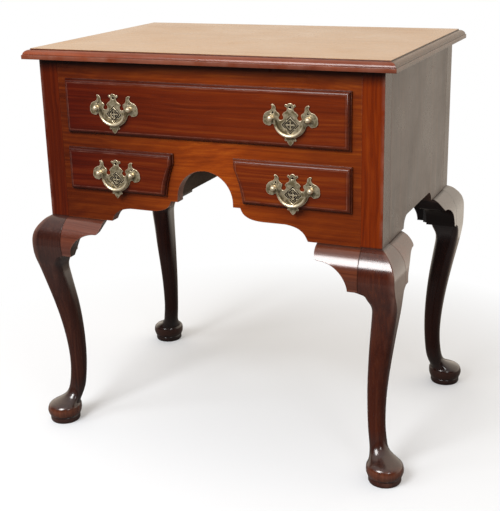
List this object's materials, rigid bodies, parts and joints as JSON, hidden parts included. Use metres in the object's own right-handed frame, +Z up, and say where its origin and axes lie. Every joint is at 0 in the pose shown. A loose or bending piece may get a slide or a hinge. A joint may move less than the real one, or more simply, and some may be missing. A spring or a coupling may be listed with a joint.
{
  "type": "lowboy",
  "caption": "Small dressing table with cabriole legs, a kneehole arch in a shaped front, lipped drawers and hanging bail pulls.",
  "frame": {"origin": "on the floor under the middle of the case", "axes": "+X to the right hand of someone facing the drawers, +Y from the drawers to the back, +Z up"},
  "size_m": [0.7052, 0.4918, 0.711],
  "materials": {
    "mahogany_top": "polished golden brown mahogany, grain along X",
    "mahogany_front_board": "polished red-brown mahogany, grain along X",
    "mahogany_drawer_front": "polished dark red mahogany, straight grain along X",
    "mahogany_side": "polished brown mahogany, upright grain",
    "mahogany_leg": "polished dark mahogany, grain up the leg",
    "oak_drawer_lining": "plain planed oak",
    "pine_carcase_wood": "aged unpolished pine",
    "brass": "aged cast brass"
  },
  "bodies": {
    "case": {"top_board": "mahogany_top", "front_board": "mahogany_front_board", "back_panel": "pine_carcase_wood", "glue_blocks": "pine_carcase_wood", "side_panel_right": "mahogany_side", "side_panel_left": "mahogany_side", "leg_front_right": "mahogany_leg", "leg_front_left": "mahogany_leg", "leg_back_right": "mahogany_leg", "leg_back_left": "mahogany_leg", "knee_block_front_right": "mahogany_leg", "knee_block_front_left": "mahogany_leg", "knee_block_back_right": "mahogany_leg", "knee_block_back_left": "mahogany_leg", "knee_block_side_front_right": "mahogany_leg", "knee_block_side_front_left": "mahogany_leg", "knee_block_side_back_right": "mahogany_leg", "knee_block_side_back_left": "mahogany_leg", "long_runner_right": "pine_carcase_wood", "long_runner_left": "pine_carcase_wood", "long_guide_right": "pine_carcase_wood", "long_guide_left": "pine_carcase_wood", "kicker_right": "pine_carcase_wood", "kicker_left": "pine_carcase_wood", "small_runner_outer_right": "pine_carcase_wood", "small_runner_outer_left": "pine_carcase_wood", "small_guide_outer_right": "pine_carcase_wood", "small_guide_outer_left": "pine_carcase_wood", "partition_right": "pine_carcase_wood", "partition_left": "pine_carcase_wood", "small_runner_inner_right": "pine_carcase_wood", "small_runner_inner_left": "pine_carcase_wood"},
    "long_drawer": {"long_drawer_front": "mahogany_drawer_front", "long_drawer_side_left": "oak_drawer_lining", "long_drawer_side_right": "oak_drawer_lining", "long_drawer_back": "oak_drawer_lining", "long_drawer_bottom": "oak_drawer_lining", "pull_long_left_plate": "brass", "pull_long_left_posts": "brass", "pull_long_right_plate": "brass", "pull_long_right_posts": "brass"},
    "left_drawer": {"left_drawer_front": "mahogany_drawer_front", "left_drawer_side_left": "oak_drawer_lining", "left_drawer_side_right": "oak_drawer_lining", "left_drawer_back": "oak_drawer_lining", "left_drawer_bottom": "oak_drawer_lining", "pull_small_left_plate": "brass", "pull_small_left_posts": "brass"},
    "right_drawer": {"right_drawer_front": "mahogany_drawer_front", "right_drawer_side_left": "oak_drawer_lining", "right_drawer_side_right": "oak_drawer_lining", "right_drawer_back": "oak_drawer_lining", "right_drawer_bottom": "oak_drawer_lining", "pull_small_right_plate": "brass", "pull_small_right_posts": "brass"},
    "bail_long_left": {"pull_long_left_bail": "brass"},
    "bail_long_right": {"pull_long_right_bail": "brass"},
    "bail_small_left": {"pull_small_left_bail": "brass"},
    "bail_small_right": {"pull_small_right_bail": "brass"}
  },
  "joints": [
    {"name": "long_drawer_slide", "type": "slide", "parent": "case", "child": "long_drawer", "axis": [0, -1, 0], "range_m": [0, 0.3]},
    {"name": "left_drawer_slide", "type": "slide", "parent": "case", "child": "left_drawer", "axis": [0, -1, 0], "range_m": [0, 0.3]},
    {"name": "right_drawer_slide", "type": "slide", "parent": "case", "child": "right_drawer", "axis": [0, -1, 0], "range_m": [0, 0.3]},
    {"name": "bail_long_left_swing", "type": "hinge", "parent": "long_drawer", "child": "bail_long_left", "pos_m": [-0.16, -0.2331, 0.6155], "axis": [-1, 0, 0], "range_deg": [-6, 175]},
    {"name": "bail_long_right_swing", "type": "hinge", "parent": "long_drawer", "child": "bail_long_right", "pos_m": [0.16, -0.2331, 0.6155], "axis": [-1, 0, 0], "range_deg": [-6, 175]},
    {"name": "bail_small_left_swing", "type": "hinge", "parent": "left_drawer", "child": "bail_small_left", "pos_m": [-0.163, -0.2331, 0.50205], "axis": [-1, 0, 0], "range_deg": [-6, 175]},
    {"name": "bail_small_right_swing", "type": "hinge", "parent": "right_drawer", "child": "bail_small_right", "pos_m": [0.163, -0.2331, 0.50205], "axis": [-1, 0, 0], "range_deg": [-6, 175]}
  ]
}
